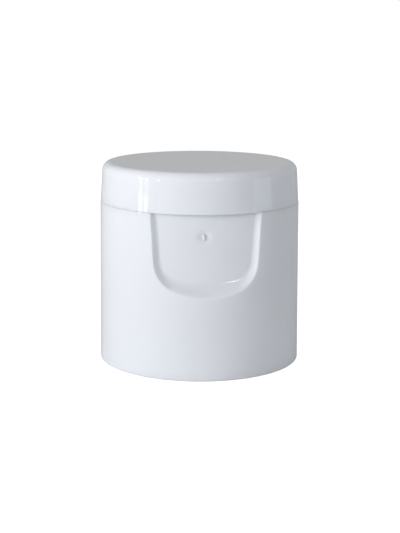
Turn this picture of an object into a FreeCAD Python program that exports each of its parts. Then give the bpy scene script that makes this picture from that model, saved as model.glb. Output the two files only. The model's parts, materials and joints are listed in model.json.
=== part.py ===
import FreeCAD, Part

import math
import os

from FreeCAD import Rotation, Vector

# Flip-top dispensing cap for a 24/410 bottle neck: a double-walled base that screws on to the bottle
# and a low lid that snaps shut on it, moulded in one shot and joined by a three-strap living hinge.
# Frame: origin at the centre of the bottom rim, +Z up, thumb recess towards -Y, hinge at +Y.
# Lengths are millimetres and angles are degrees.

# Outer form
base_height = 25.5        # bottom rim to the parting line
base_draft = 0.5          # the outer skirt narrows upwards by this angle
foot_edge = 0.3           # chamfer on the outer edge of the bottom rim
lid_height = 6.15         # parting line to the flat top
lid_draft = 2.75
lid_step = 0.05           # the lid stands back from the base by this much all round
lid_top_round = 0.6       # outer edge of the flat top
lid_round_flats = 3       # that edge is rounded in this many flats
seam_edge = 0.1           # chamfer on the two edges that meet at the parting line

# Walls
skirt_wall = 1.2
skirt_gap = 1.38          # space between the two skirts at the parting line
deck_wall = 1.4
lid_wall = 1.2
lid_top_wall = 1.3
hinge_wall = 0.85         # base and lid wall behind the hinge flat

# Neck that takes the bottle
neck_radius = 12.2        # bore of the inner skirt, at the root of the 24/410 thread
neck_wall = 1.0
neck_depth = 16.9         # mouth of the inner skirt to the underside of the deck
neck_lead = 0.5           # chamfer at the mouth
neck_land_radius = 11.6   # narrower bore above the thread
neck_land_depth = 3.6
neck_land_slope = 0.6     # height of the cone between the two bores
plug_radius = 9.1         # plug seal that enters the bottle's mouth
plug_wall = 0.8
plug_depth = 2.8
plug_taper = 0.35

# Stiffening ribs between the two skirts
rib_count = 8
rib_thickness = 0.8
rib_start = 2.0           # the ribs begin this far above the mouth of the inner skirt

# Deck: snap rim and spout
rim_gap = 0.28            # between the rim and the flat inner wall of the hinge
rim_wall = 0.9
rim_height = 1.4
bead_height = 0.12        # snap beads stand out by this much
bead_half_width = 0.35    # half of a snap bead's height along Z
bead_span = 40.0          # angle that the snap beads cover at the front
rim_bead_level = 0.85     # above the deck
spout_radius = 3.5
spout_taper = 0.3         # the spout is this much narrower at its top
spout_height = 2.2
spout_edge = 0.4
orifice_radius = 2.0
spigot_gap = 0.15         # radial clearance of the lid's spigot in the orifice
spigot_wall = 0.7
spigot_depth = 1.5        # the closed spigot reaches this far into the orifice
spigot_round = 0.4

# Lip inside the front of the lid, which the thumb pushes up
lip_gap = 0.35            # radial clearance to the snap rim
lip_height = 1.3
lip_span = 52.0
lid_bead_level = 0.38

# Thumb recess in the front of the base
thumb_half_width = 8.31   # at the parting line, where the wall meets the side of the base
thumb_drop = 10.56        # parting line to the lowest point of the outline, in the plane of its side edges
thumb_side_draft = 5.3    # the sides lean together downwards
thumb_corner = 3.2
thumb_bottom_radius = 70.0
thumb_wall_slope = 0.8    # run of the recess walls for each millimetre of depth
thumb_depth = 1.58        # at the centre line
thumb_floor_radius = 24.3
thumb_floor_round = 1.0   # fillet between floor and walls
thumb_panel = 1.1         # wall behind the floor

# Gate mark on the floor of the recess
gate_drop = 3.65
gate_shift = -0.3
gate_dimple_radius = 1.2
gate_dimple_depth = 0.15
gate_nub_width = 0.45
gate_nub_height = 0.9
gate_nub_rise = 0.3

# Living hinge at the back
hinge_inset = 1.2         # the hinge flat lies this far inside the base's outline
hinge_drop = 4.0          # height of the flat on the base
hinge_rise = 4.0          # height of the flat on the lid
hinge_block_width = 13.4  # thickened wall behind the flat
hinge_block_drop = 6.2
axis_offset = 0.32        # from the hinge flat out to the axis
film_inner = 2.3          # the two outer films lie between these distances from the middle
film_outer = 4.5
film_land_low = 0.72      # where a film leaves the wall, from the parting line
film_land_high = 1.1
film_round = 0.16         # rolled edge of the film, centred on the axis
film_inside = 0.12        # the film's inner corner stops this far short of the axis
strap_width = 3.2         # middle strap, which snaps the lid open and shut
strap_thickness = 0.45
strap_reach = 2.4         # height of the strap above and below the parting line
strap_set = 0.5           # the strap lies this far inside the hinge flat
strap_window_gap = 0.35   # between the strap and the sides of its window

up = Vector(0, 0, 1)
neck_outer = neck_radius + neck_wall
seam_radius = neck_outer + skirt_gap + skirt_wall
foot_radius = seam_radius + base_height * math.tan(math.radians(base_draft))
lid_radius = seam_radius - lid_step
lid_top_radius = lid_radius - lid_height * math.tan(math.radians(lid_draft))
total_height = base_height + lid_height
deck_under = base_height - deck_wall
lid_under = total_height - lid_top_wall
neck_mouth = deck_under - neck_depth
hinge_flat = seam_radius - hinge_inset
hinge_inner = hinge_flat - hinge_wall
rim_radius = hinge_inner - rim_gap
axis_y = hinge_flat + axis_offset
thumb_floor_y = thumb_depth - seam_radius
reach = 2 * foot_radius   # longer than any cut has to be


def turned(points):
    """Solid of revolution about Z from an outline of (radius, height) corners."""
    corners = [Vector(r, 0, z) for r, z in points]
    outline = Part.makePolygon(corners + corners[:1])
    return Part.Face(outline).revolve(Vector(), up, 360)


def ring(inner, outer, low, high):
    """Upright ring, or a disc when the inner radius is 0."""
    disc = Part.makeCylinder(outer, high - low, Vector(0, 0, low))
    if inner == 0:
        return disc
    return disc.cut(Part.makeCylinder(inner, high - low, Vector(0, 0, low)))


def sector(outline, span, middle):
    """Outline of (radius, height) corners turned through an angle about Z, centred on a heading."""
    corners = [Vector(r, 0, z) for r, z in outline]
    face = Part.Face(Part.makePolygon(corners + corners[:1]))
    face.rotate(Vector(), up, middle - span / 2)
    return face.revolve(Vector(), up, span)


def block(width, y_low, y_high, z_low, z_high, x_middle=0.0):
    """Box centred on x_middle."""
    corner = Vector(x_middle - width / 2, y_low, z_low)
    return Part.makeBox(width, y_high - y_low, z_high - z_low, corner)


def along_x(outline, x_low, x_high):
    """Solid of constant section along X from an outline of (y, z) corners."""
    corners = [Vector(x_low, y, z) for y, z in outline]
    return Part.Face(Part.makePolygon(corners + corners[:1])).extrude(Vector(x_high - x_low, 0, 0))


def circles_at(shape, radius, height):
    """Round edges of a shape at the given radius and height."""
    return [
        edge
        for edge in shape.Edges
        if isinstance(edge.Curve, Part.Circle)
        and abs(edge.Curve.Radius - radius) < 1e-4
        and abs(edge.Curve.Center.z - height) < 1e-4
    ]


def outer_skirt():
    """Smooth outer wall of the base, rounded at the foot and at the parting line."""
    wall = turned([
        (foot_radius - skirt_wall, 0),
        (foot_radius, 0),
        (seam_radius, base_height),
        (seam_radius - skirt_wall, base_height),
    ])
    wall = wall.makeChamfer(foot_edge, circles_at(wall, foot_radius, 0))
    return wall.makeChamfer(seam_edge, circles_at(wall, seam_radius, base_height))


def neck_skirt():
    """Inner skirt with its lead-in chamfer, thread bore and narrower land below the deck."""
    land_low = deck_under - neck_land_depth
    return turned([
        (neck_radius + neck_lead, neck_mouth),
        (neck_outer, neck_mouth),
        (neck_outer, deck_under),
        (neck_land_radius, deck_under),
        (neck_land_radius, land_low + neck_land_slope),
        (neck_radius, land_low),
        (neck_radius, neck_mouth + neck_lead),
    ])


def plug_seal():
    """Tapered ring under the deck that seals in the bottle's mouth."""
    tip = deck_under - plug_depth
    return turned([
        (plug_radius - plug_wall, deck_under),
        (plug_radius, deck_under),
        (plug_radius, tip + plug_wall),
        (plug_radius - plug_taper, tip),
        (plug_radius - plug_wall, tip),
    ])


def ribs():
    """Upright ribs that tie the two skirts together below the deck."""
    inner = neck_radius + neck_wall / 2
    outer = seam_radius - skirt_wall / 2
    low = neck_mouth + rib_start
    corner = Vector(inner, -rib_thickness / 2, low)
    one = Part.makeBox(outer - inner, rib_thickness, deck_under - low, corner)
    pitch = 360 / rib_count
    made = []
    for index in range(rib_count):
        rib = one.copy()
        rib.rotate(Vector(), up, pitch * (index + 0.5))
        made.append(rib)
    return made


def bead(radius, level, outwards):
    """Low V-shaped snap bead at the front, standing out of a wall or in from it."""
    tip = radius + bead_height if outwards else radius - bead_height
    buried = radius - bead_height if outwards else radius + bead_height
    return sector([
        (buried, level - bead_half_width),
        (radius, level - bead_half_width),
        (tip, level),
        (radius, level + bead_half_width),
        (buried, level + bead_half_width),
    ], bead_span, -90)


def snap_rim():
    """Raised rim on the deck with its snap bead, chamfered to guide the lid."""
    lead = rim_wall / 3
    top = base_height + rim_height
    wall = turned([
        (rim_radius - rim_wall, deck_under),
        (rim_radius, deck_under),
        (rim_radius, top - lead),
        (rim_radius - lead, top),
        (rim_radius - rim_wall, top),
    ])
    return wall.fuse(bead(rim_radius, base_height + rim_bead_level, True))


def spout():
    """Tapered spout round the orifice, still without its bore."""
    top = base_height + spout_height
    solid = Part.makeCone(spout_radius, spout_radius - spout_taper, spout_height, Vector(0, 0, base_height))
    return solid.makeChamfer(spout_edge, circles_at(solid, spout_radius - spout_taper, top))


def orifice():
    """Bore of the spout with a chamfered mouth, from below the deck to above the spout."""
    top = base_height + spout_height
    return turned([
        (0, deck_under - deck_wall),
        (orifice_radius, deck_under - deck_wall),
        (orifice_radius, top - spigot_round),
        (orifice_radius + spigot_round, top),
        (orifice_radius + spigot_round, top + deck_wall),
        (0, top + deck_wall),
    ])


def thumb_outline(y, grow):
    """U-shaped outline in an upright plane, every side moved outwards by grow."""
    lean = math.radians(thumb_side_draft)
    slant = Vector(-math.sin(lean), 0, -math.cos(lean))
    outward = Vector(math.cos(lean), 0, -math.sin(lean))
    shift = Vector(0, y, base_height)
    bottom_centre = Vector(0, 0, thumb_bottom_radius - thumb_drop)
    # The corner's centre lies one corner radius inside the side line and inside the bottom arc.
    start = Vector(thumb_half_width - thumb_corner / math.cos(lean), 0, 0) - bottom_centre
    span = thumb_bottom_radius - thumb_corner
    along = start.dot(slant)
    travel = -along + math.sqrt(along * along - start.dot(start) + span * span)
    corner_centre = bottom_centre + start + slant * travel
    down = (corner_centre - bottom_centre).normalize()
    corner = thumb_corner + grow
    side_end = corner_centre + outward * corner
    side_top = side_end - slant * (travel + reach / 4)
    bend = corner_centre + (outward + down).normalize() * corner
    bottom_end = corner_centre + down * corner
    lowest = bottom_centre - up * (thumb_bottom_radius + grow)

    def mirrored(point):
        return Vector(-point.x, point.y, point.z)

    edges = [
        Part.makeLine(shift + mirrored(side_top), shift + side_top),
        Part.makeLine(shift + side_top, shift + side_end),
        Part.Arc(shift + side_end, shift + bend, shift + bottom_end).toShape(),
        Part.Arc(shift + bottom_end, shift + lowest, shift + mirrored(bottom_end)).toShape(),
        Part.Arc(shift + mirrored(bottom_end), shift + mirrored(bend), shift + mirrored(side_end)).toShape(),
        Part.makeLine(shift + mirrored(side_end), shift + mirrored(side_top)),
    ]
    return Part.Wire(edges)


def thumb_form(wall):
    """Body of the thumb recess with sharp edges, every side moved outwards by a wall."""
    side_y = -math.sqrt(seam_radius ** 2 - thumb_half_width ** 2)
    front = -foot_radius - 1.0
    back = thumb_floor_y + 2 * thumb_depth
    wires = [thumb_outline(y, wall + (side_y - y) * thumb_wall_slope) for y in (front, back)]
    form = Part.makeLoft(wires, True, True)
    radius = thumb_floor_radius - wall
    axis = Vector(0, thumb_floor_y + thumb_floor_radius, base_height - reach)
    form = form.cut(Part.makeCylinder(radius, 2 * reach, axis))
    return form


def thumb_recess():
    """Thumb recess with its floor blended into its walls."""
    form = thumb_form(0.0)
    axis_y = thumb_floor_y + thumb_floor_radius

    def on_floor(edge):
        ends = (edge.FirstParameter, edge.LastParameter, (edge.FirstParameter + edge.LastParameter) / 2)
        points = [edge.valueAt(t) for t in ends]
        return all(abs(math.hypot(p.x, p.y - axis_y) - thumb_floor_radius) < 1e-3 for p in points)

    floor_edges = [edge for edge in form.Edges if on_floor(edge) and edge.CenterOfMass.z < base_height]
    return form.makeFillet(thumb_floor_round, floor_edges)


def thumb_panel_wall():
    """Wall that carries the thumb recess on the inside of the skirt."""
    inside = Part.makeCylinder(seam_radius - skirt_wall / 2, deck_under, Vector(0, 0, 0))
    return thumb_form(thumb_panel).common(inside)


def gate_dimple():
    """Shallow round hollow round the gate mark."""
    sphere_radius = (gate_dimple_radius ** 2 + gate_dimple_depth ** 2) / (2 * gate_dimple_depth)
    centre = Vector(gate_shift, thumb_floor_y + gate_dimple_depth - sphere_radius, base_height - gate_drop)
    return Part.makeSphere(sphere_radius, centre)


def gate_nub():
    """Trimmed stub that the gate leaves in the middle of its hollow."""
    root = thumb_floor_y + gate_dimple_depth
    top = root - gate_nub_rise
    stub = block(gate_nub_width, top, root + thumb_panel / 2, 0, gate_nub_height, gate_shift)
    stub.translate(up * (base_height - gate_drop - gate_nub_height / 2))
    corners = [edge for edge in stub.Edges if abs(edge.tangentAt(edge.FirstParameter).y) > 0.9]
    return stub.makeFillet(gate_nub_width * 0.4, corners)


def hinge_block(low, high):
    """Thickened wall behind the hinge flat, kept inside the outer form."""
    room = Part.makeCylinder(min(lid_top_radius, seam_radius) - lid_step, high - low, Vector(0, 0, low))
    return block(hinge_block_width, hinge_inner, foot_radius, low, high).common(room)


def hinge_pocket():
    """Flat-backed pocket across the parting line, with sloping ends."""
    depth = foot_radius - hinge_flat
    low = base_height - hinge_drop
    high = base_height + hinge_rise
    return along_x([
        (hinge_flat, low),
        (hinge_flat + depth + 1.0, low - depth - 1.0),
        (hinge_flat + depth + 1.0, high + depth / 2),
        (hinge_flat, high),
    ], -hinge_block_width / 2, hinge_block_width / 2)


def strap_window():
    """Opening in both walls that the middle strap crosses."""
    inner = hinge_flat - strap_set - strap_thickness - strap_window_gap
    width = strap_width + 2 * strap_window_gap
    return block(width, inner, foot_radius, base_height - strap_reach, base_height + strap_reach)


def make_base():
    """Base: skirts, deck, rim and spout as one moulding."""
    solid = outer_skirt()
    parts = [
        ring(0, seam_radius - skirt_wall / 2, deck_under, base_height),
        neck_skirt(),
        plug_seal(),
        snap_rim(),
        spout(),
        thumb_panel_wall(),
        hinge_block(base_height - hinge_block_drop, base_height),
    ]
    solid = solid.multiFuse(parts + ribs())
    for hollow in (thumb_recess(), hinge_pocket(), strap_window(), orifice(), gate_dimple()):
        solid = solid.cut(hollow)
    return solid.fuse(gate_nub()).removeSplitter()


def lid_body():
    """Outer form of the lid, solid, with its top edge rounded in a few flats."""
    lean = math.radians(lid_draft)
    centre_radius = lid_top_radius - lid_top_round * (1 - math.tan(lean)) / math.cos(lean)
    corners = [
        (0, base_height),
        (lid_radius - seam_edge, base_height),
        (lid_radius, base_height + seam_edge),
    ]
    for step in range(lid_round_flats + 1):
        angle = lean + (math.pi / 2 - lean) * step / lid_round_flats
        corners.append((
            centre_radius + lid_top_round * math.cos(angle),
            total_height - lid_top_round + lid_top_round * math.sin(angle),
        ))
    return turned(corners + [(0, total_height)])


def lid_shell():
    """Flat-topped lid wall, open below."""
    outer = lid_body()
    inner_low = lid_radius - lid_wall
    inner_high = lid_top_radius - lid_wall
    hollow = Part.makeCone(inner_low, inner_high, lid_under - base_height, Vector(0, 0, base_height))
    hollow = hollow.makeChamfer(lid_top_round, circles_at(hollow, inner_high, lid_under))
    return outer.cut(hollow)


def spigot():
    """Hollow stub under the lid that closes the orifice."""
    tip = base_height + spout_height - spigot_depth
    outer = orifice_radius - spigot_gap
    inner = outer - spigot_wall
    return turned([
        (inner, lid_under + lid_top_wall / 2),
        (outer, lid_under + lid_top_wall / 2),
        (outer, tip + spigot_round),
        (outer - spigot_round, tip),
        (inner, tip),
    ])


def thumb_lip():
    """Thicker front edge inside the lid, with its snap bead."""
    inner = rim_radius + lip_gap
    outer = lid_radius - lid_wall / 2
    wall = sector([
        (inner, base_height),
        (outer, base_height),
        (outer, base_height + lip_height + outer - inner),
        (inner, base_height + lip_height),
    ], lip_span, -90)
    return wall.fuse(bead(inner, base_height + lid_bead_level, False))


def make_lid():
    """Lid: shell, spigot and thumb lip as one moulding."""
    parts = [spigot(), thumb_lip(), hinge_block(base_height, lid_under + lid_top_wall / 2)]
    solid = lid_shell().multiFuse(parts)
    for hollow in (hinge_pocket(), strap_window()):
        solid = solid.cut(hollow)
    return solid.removeSplitter()


def make_film(side):
    """One of the two outer films: a thin V of plastic with its rolled edge on the hinge axis."""
    slope = math.atan2(film_land_high, axis_offset)
    lean = Vector(0, math.sin(slope), math.cos(slope)) * film_round
    centre = Vector(0, axis_y, base_height)
    upper = centre + Vector(0, lean.y, lean.z)
    lower = centre + Vector(0, lean.y, -lean.z)
    edges = [
        Part.makeLine(Vector(0, hinge_flat, base_height + film_land_high), upper),
        Part.Arc(upper, centre + Vector(0, film_round, 0), lower).toShape(),
        Part.makeLine(lower, Vector(0, hinge_flat, base_height - film_land_high)),
        Part.makeLine(Vector(0, hinge_flat, base_height - film_land_high),
                      Vector(0, hinge_flat, base_height - film_land_low)),
        Part.makeLine(Vector(0, hinge_flat, base_height - film_land_low),
                      Vector(0, axis_y - film_inside, base_height)),
        Part.makeLine(Vector(0, axis_y - film_inside, base_height),
                      Vector(0, hinge_flat, base_height + film_land_low)),
        Part.makeLine(Vector(0, hinge_flat, base_height + film_land_low),
                      Vector(0, hinge_flat, base_height + film_land_high)),
    ]
    film = Part.Face(Part.Wire(edges)).extrude(Vector(film_outer - film_inner, 0, 0))
    start = film_inner if side > 0 else -film_outer
    film.translate(Vector(start, 0, 0))
    return film


def make_strap():
    """Middle strap, which is longest when the lid is half open and so snaps it either way."""
    outer = hinge_flat - strap_set
    inner = outer - strap_thickness
    return block(strap_width, inner, outer, base_height - strap_reach, base_height + strap_reach)


def main():
    """Build every piece and write it under its own name."""
    os.makedirs("parts", exist_ok=True)
    pieces = {
        "base": make_base(),
        "lid": make_lid(),
        "hinge_film_left": make_film(-1),
        "hinge_film_right": make_film(1),
        "hinge_strap": make_strap(),
    }
    for name, shape in pieces.items():
        shape.exportStep(f"parts/{name}.step")
        print(name, "solids", len(shape.Solids), "valid", shape.isValid(), "volume", round(shape.Volume, 2))


main()
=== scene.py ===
import json
import logging
import math
from dataclasses import dataclass
from enum import Enum
from typing import Sequence

import bmesh
import bpy
import numpy as np
from mathutils import Matrix, Vector


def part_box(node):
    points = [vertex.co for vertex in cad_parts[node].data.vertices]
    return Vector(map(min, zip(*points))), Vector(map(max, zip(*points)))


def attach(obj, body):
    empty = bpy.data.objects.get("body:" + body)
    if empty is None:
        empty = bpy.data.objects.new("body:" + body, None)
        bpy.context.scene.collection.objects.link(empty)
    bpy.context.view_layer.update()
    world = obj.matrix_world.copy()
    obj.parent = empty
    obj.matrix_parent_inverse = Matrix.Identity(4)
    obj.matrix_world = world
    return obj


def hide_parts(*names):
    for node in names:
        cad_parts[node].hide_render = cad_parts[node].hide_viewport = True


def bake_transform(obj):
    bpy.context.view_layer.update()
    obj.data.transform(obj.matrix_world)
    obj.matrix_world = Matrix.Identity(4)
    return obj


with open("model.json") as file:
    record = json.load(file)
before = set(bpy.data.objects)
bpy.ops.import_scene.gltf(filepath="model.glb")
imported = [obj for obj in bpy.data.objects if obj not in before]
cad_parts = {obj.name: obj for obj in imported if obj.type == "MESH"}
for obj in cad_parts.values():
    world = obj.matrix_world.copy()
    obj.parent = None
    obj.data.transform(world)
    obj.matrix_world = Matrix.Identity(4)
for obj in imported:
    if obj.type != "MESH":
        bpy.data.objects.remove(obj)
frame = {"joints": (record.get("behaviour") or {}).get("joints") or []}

MM = 0.001
MERGE_DISTANCE = 0.0002 * MM
QUARTER = math.pi / 2
CREASE = math.radians(38)
LID_INSET = 0.05  # millimetres by which the lid's wall stands inside the skirt's at the parting line
LOG = logging.getLogger("flip_top_cap")
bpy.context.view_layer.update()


class Body(Enum):
    """The two mouldings that move against each other."""

    BASE = "base"
    LID = "lid"


class Side(Enum):
    """Side of the cap, seen from the front."""

    LEFT = -1
    RIGHT = 1


# ---------------------------------------------------------------- colour and nodes


def linear(code: str) -> tuple[float, float, float, float]:
    """Turn an sRGB hex colour into linear light.

    Args:
        code: colour such as "#EDEEF1".

    Returns:
        Red, green, blue and a full alpha.
    """
    parts = [int(code[i:i + 2], 16) / 255 for i in (1, 3, 5)]
    return tuple(p / 12.92 if p <= 0.04045 else ((p + 0.055) / 1.055) ** 2.4 for p in parts) + (1.0,)


def add_node(tree: bpy.types.NodeTree, kind: str, settings: dict | None = None,
             links: dict | None = None) -> bpy.types.Node:
    """Add one shader node with its settings and links.

    Args:
        tree: node tree that gets the node.
        kind: Blender's identifier of the node.
        settings: attribute or input names with their values.
        links: input names or numbers with the output sockets that feed them.

    Returns:
        The new node.
    """
    node = tree.nodes.new(kind)
    for key, value in (settings or {}).items():
        if isinstance(key, str) and hasattr(node, key):
            setattr(node, key, value)
        else:
            node.inputs[key].default_value = value
    for key, socket in (links or {}).items():
        tree.links.new(socket, node.inputs[key])
    return node


# ---------------------------------------------------------------- surfaces


def soft_min(first: np.ndarray, second: np.ndarray, width: float) -> np.ndarray:
    """Lower of two surfaces, with the edge where they cross rounded off.

    The result is the minimum, less a quarter of the width times (1 - gap / width) squared wherever the
    gap between the two is smaller than the width.

    Args:
        first: values of one surface.
        second: values of the other.
        width: gap within which the two blend.

    Returns:
        The blended values.
    """
    overlap = np.clip(1 - np.abs(first - second) / width, 0, None)
    return np.minimum(first, second) - overlap ** 2 * width / 4


def soft_max(first: np.ndarray, second: np.ndarray, width: float) -> np.ndarray:
    """Higher of two surfaces with a fillet where they cross: soft_min turned upside down."""
    return -soft_min(-first, -second, width)


def flattened(radii: np.ndarray, distance: np.ndarray | float, headings: np.ndarray,
              blend: float) -> np.ndarray:
    """Radius of a turned wall after an upright plane cuts it off at the back.

    The plane's radius is its distance over the cosine of the heading from the back.

    Args:
        radii: radius of the plain wall.
        distance: distance of the plane from the axis.
        headings: angle about the axis, a half turn at the back.
        blend: width of the round where plane and wall meet.

    Returns:
        The new radius.
    """
    cosine = -np.cos(headings)
    cut = soft_min(radii, distance / np.clip(cosine, 0.3, None), blend)
    return np.where(cosine > 0.6, cut, radii)


def ease(value: np.ndarray, low: float, high: float) -> np.ndarray:
    """Smooth step from 0 at low to 1 at high: 3 t squared less 2 t cubed."""
    t = np.clip((value - low) / (high - low), 0, 1)
    return t * t * (3 - 2 * t)


def stepped(start: float, *legs: tuple[float, int]) -> np.ndarray:
    """Values from a start through the end of each leg, each leg divided into its own number of equal steps.

    Args:
        start: first value.
        legs: end and number of steps of each leg.

    Returns:
        The values, with the ends of the legs among them.
    """
    values = [np.array([start])]
    for end, steps in legs:
        values.append(np.linspace(values[-1][-1], end, steps + 1)[1:])
    return np.concatenate(values)


def superellipse(corners: int, power: float) -> np.ndarray:
    """Ring of points with |x| to the power plus |y| to the power = 1: a square whose corners are rounded.

    Args:
        corners: number of points.
        power: 2 for a circle, higher for sharper corners.

    Returns:
        Points, one row each.
    """
    turn = np.linspace(0, 2 * math.pi, corners, endpoint=False)
    ring = np.stack([np.cos(turn), np.sin(turn)], axis=-1)
    return ring / (np.abs(ring) ** power).sum(axis=-1, keepdims=True) ** (1 / power)


def rounded_profile(corners: Sequence[tuple[float, float, float]], steps: int = 4,
                    support: float = 0.05) -> np.ndarray:
    """Polyline of (radius, height) points with each inner corner turned through an arc.

    The arc of radius q touches both sides at q / tan(half angle) from the corner, and one more point
    lies a little before and after it, so that flat faces keep their flat shading.

    Args:
        corners: radius, height and corner radius of each corner, the two ends with a corner radius of 0.
        steps: flats in each arc.
        support: distance from an arc to the extra point beside it.

    Returns:
        Array of points, one row each.
    """
    points = np.array([corner[:2] for corner in corners])
    made = [points[:1]]
    for index in range(1, len(points) - 1):
        here, turn = points[index], corners[index][2]
        back = points[index - 1] - here
        ahead = points[index + 1] - here
        back_length, ahead_length = np.hypot(*back), np.hypot(*ahead)
        back, ahead = back / back_length, ahead / ahead_length
        half = math.acos(np.clip(back @ ahead, -1, 1)) / 2
        if half > math.radians(89.5):
            made.append(here[None])
            continue
        reach = turn / math.tan(half)
        middle = (back + ahead) / np.hypot(*(back + ahead))
        centre = here + middle * turn / math.sin(half)
        start, end = here + back * reach - centre, here + ahead * reach - centre
        sweep = math.atan2(start[0] * end[1] - start[1] * end[0], start @ end)
        angles = np.linspace(0, sweep, steps + 1)[:, None]
        quarter = np.array([-start[1], start[0]])
        arc = centre + start * np.cos(angles) + quarter * np.sin(angles)
        before = here + back * min(reach + support, back_length / 2)
        after = here + ahead * min(reach + support, ahead_length / 2)
        made += [before[None], arc, after[None]]
    made.append(points[-1:])
    return np.concatenate(made)


def turned(radii: np.ndarray | float, heights: np.ndarray | float, headings: np.ndarray) -> np.ndarray:
    """Grid of points from radius, height and heading.

    Heading 0 is the front and a quarter turn is the right: the point is (r sin a, -r cos a, z).

    Args:
        radii: distance from the axis, in millimetres.
        heights: height above the bottom rim.
        headings: angle about the axis.

    Returns:
        Points with the broadcast shape of the inputs and a last axis of 3.
    """
    radii, heights, headings = np.broadcast_arrays(radii, heights, headings)
    return np.stack([radii * np.sin(headings), -radii * np.cos(headings), heights], axis=-1)


def grid_faces(rows: int, columns: int, wrap_rows: bool = False) -> np.ndarray:
    """Four-cornered faces of a grid whose columns run right round. Seen from outside, rows run up.

    Args:
        rows: number of rows of points.
        columns: number of points in a row.
        wrap_rows: whether the last row joins the first.

    Returns:
        Corner numbers, four for each face.
    """
    row = np.arange(rows if wrap_rows else rows - 1)[:, None]
    column = np.arange(columns)[None, :]
    above, right = (row + 1) % rows, (column + 1) % columns
    corners = [
        row * columns + column, row * columns + right, above * columns + right, above * columns + column,
    ]
    return np.stack(corners, axis=-1).reshape(-1, 4)


def placed(name: str, data: bpy.types.ID) -> bpy.types.Object:
    """Put new data into the scene as an object."""
    made = bpy.data.objects.new(name, data)
    bpy.context.scene.collection.objects.link(made)
    return made


def make_piece(name: str, grids: Sequence[np.ndarray], faces: Sequence[np.ndarray]) -> bpy.types.Object:
    """Turn grids of points in millimetres into one piece, smooth except at creases, with doubles merged.

    Args:
        name: name of the piece.
        grids: point arrays, each with a last axis of 3.
        faces: corner numbers within each grid.

    Returns:
        The new object, at the origin.
    """
    flat = [grid.reshape(-1, 3) for grid in grids]
    starts = np.cumsum([0] + [len(points) for points in flat[:-1]])
    points = np.concatenate(flat) * MM
    corners = np.concatenate([face + start for face, start in zip(faces, starts)])
    mesh = bpy.data.meshes.new(name)
    mesh.from_pydata(points, [], corners)
    shape = bmesh.new()
    shape.from_mesh(mesh)
    bmesh.ops.remove_doubles(shape, verts=shape.verts, dist=MERGE_DISTANCE)
    bmesh.ops.dissolve_degenerate(shape, edges=shape.edges, dist=MERGE_DISTANCE)
    shape.to_mesh(mesh)
    shape.free()
    mesh.shade_smooth()
    mesh.set_sharp_from_angle(angle=CREASE)
    mesh.validate()
    return placed(name, mesh)


def closed_bars(name: str, bodies: Sequence[np.ndarray]) -> bpy.types.Object:
    """One piece made of bars: rings of points along each, and a fan that closes each end.

    Args:
        name: name of the piece.
        bodies: (rings, corners, 3) points of each bar, in millimetres.

    Returns:
        The new object, with every face pointing outwards.
    """
    grids, faces = [], []
    for body in bodies:
        ends = [np.repeat(body[i].mean(axis=0)[None], body.shape[1], axis=0)[None] for i in (0, -1)]
        grids.append(np.concatenate([ends[0], body, ends[1]]))
        faces.append(grid_faces(len(body) + 2, body.shape[1]))
    piece = make_piece(name, grids, faces)
    shape = bmesh.new()
    shape.from_mesh(piece.data)
    bmesh.ops.recalc_face_normals(shape, faces=shape.faces)
    shape.to_mesh(piece.data)
    shape.free()
    return piece


# ---------------------------------------------------------------- sub-assemblies


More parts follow.
